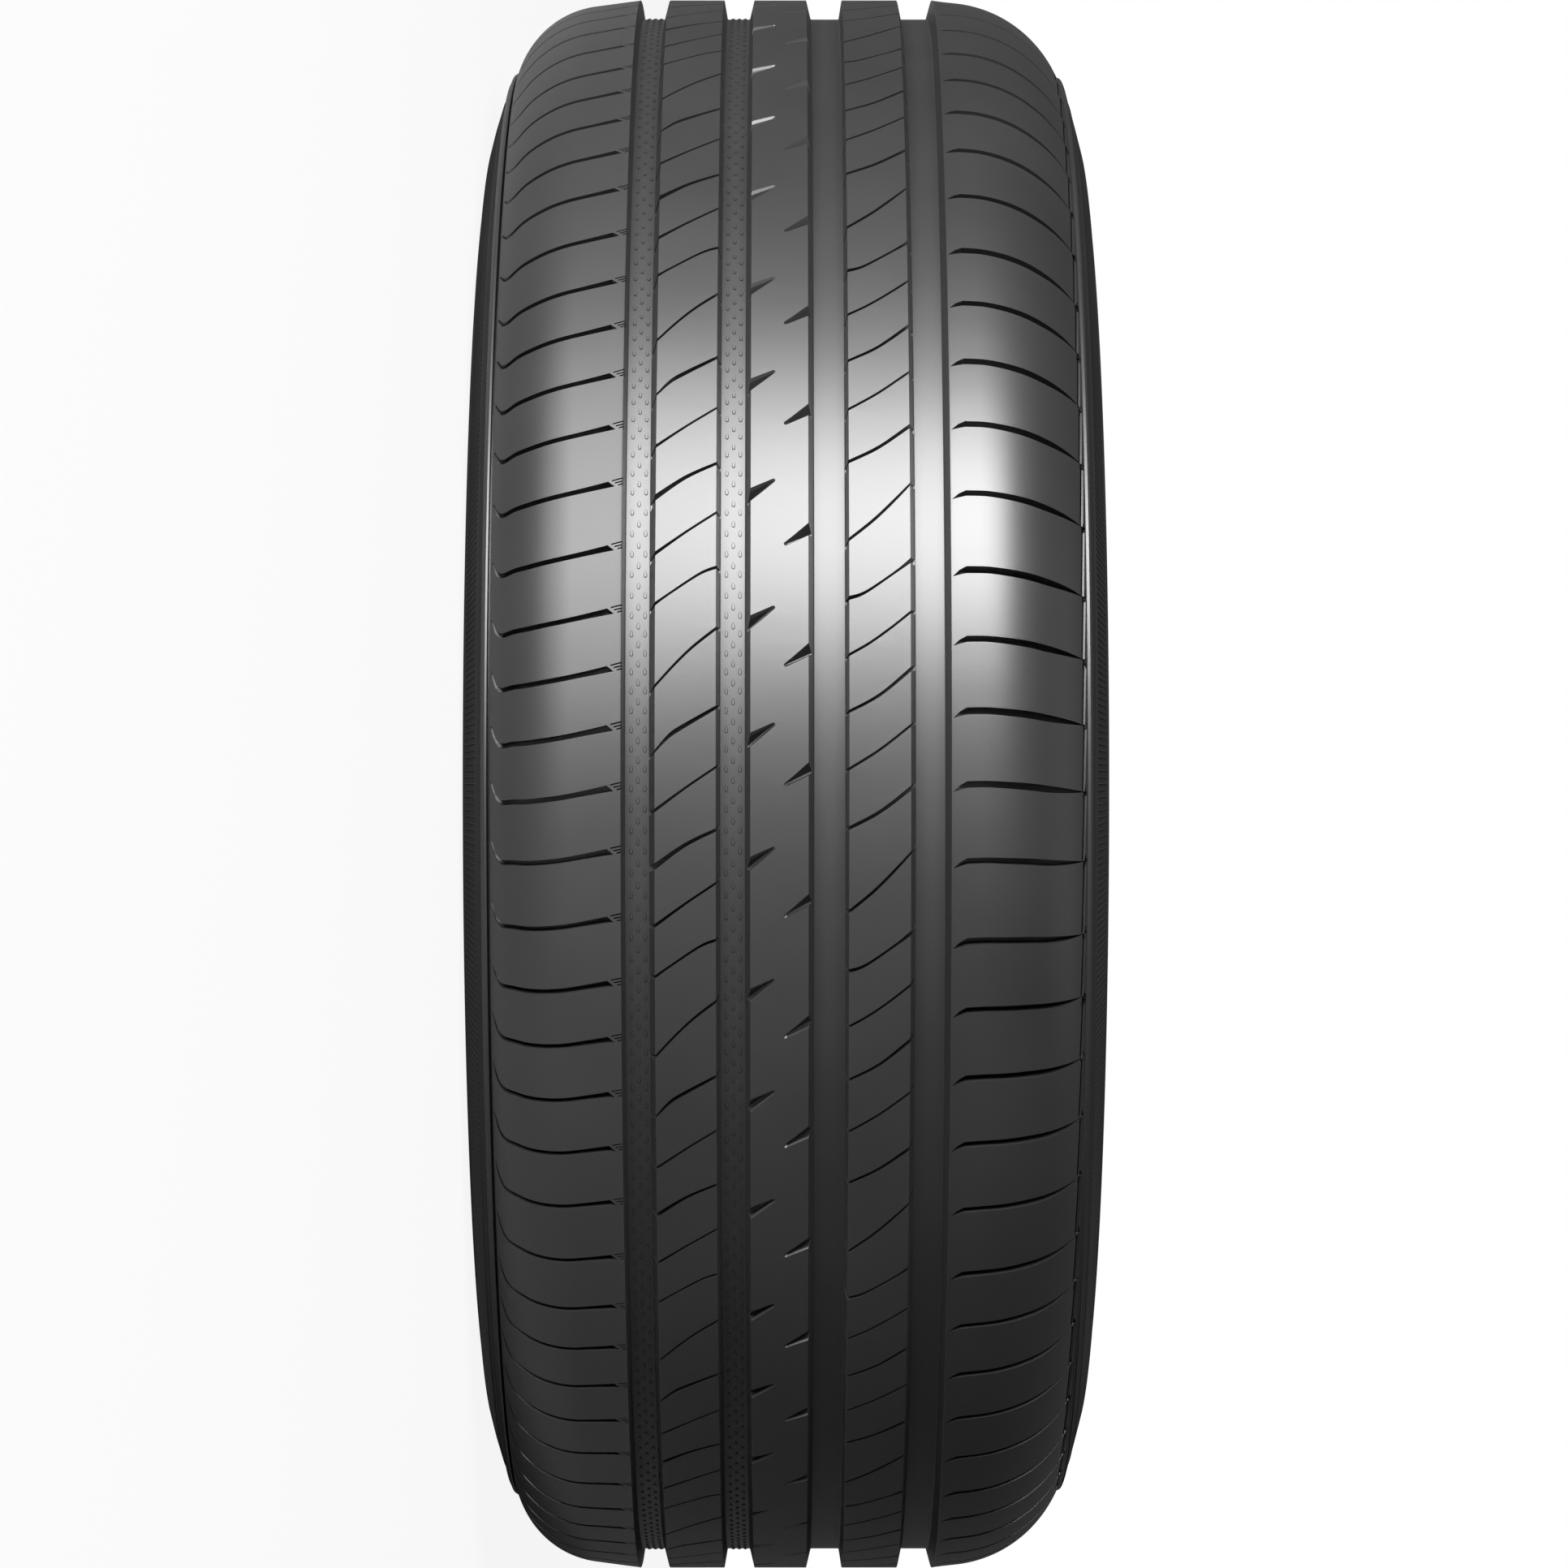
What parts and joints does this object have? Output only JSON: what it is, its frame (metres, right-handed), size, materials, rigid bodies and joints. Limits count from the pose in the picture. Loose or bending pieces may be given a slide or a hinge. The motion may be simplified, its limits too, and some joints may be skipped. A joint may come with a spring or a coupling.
{
  "type": "car tyre",
  "caption": "Low-profile car tyre with an asymmetric tread of grooves, sipes and notches, curved sidewalls, flange protectors and open beads.",
  "frame": {"origin": "on the wheel's axis, at the level of the lower flange protector that the tyre lies on", "axes": "+Z along the wheel's axis, from the shoulder with hooked grooves to the shoulder with wide grooves; -Y is the side of the tread that the picture shows"},
  "size_m": [0.6432, 0.6432, 0.2385],
  "materials": {
    "tyre": "satin black rubber"
  },
  "bodies": {
    "root": {"tyre": "tyre"}
  },
  "joints": []
}
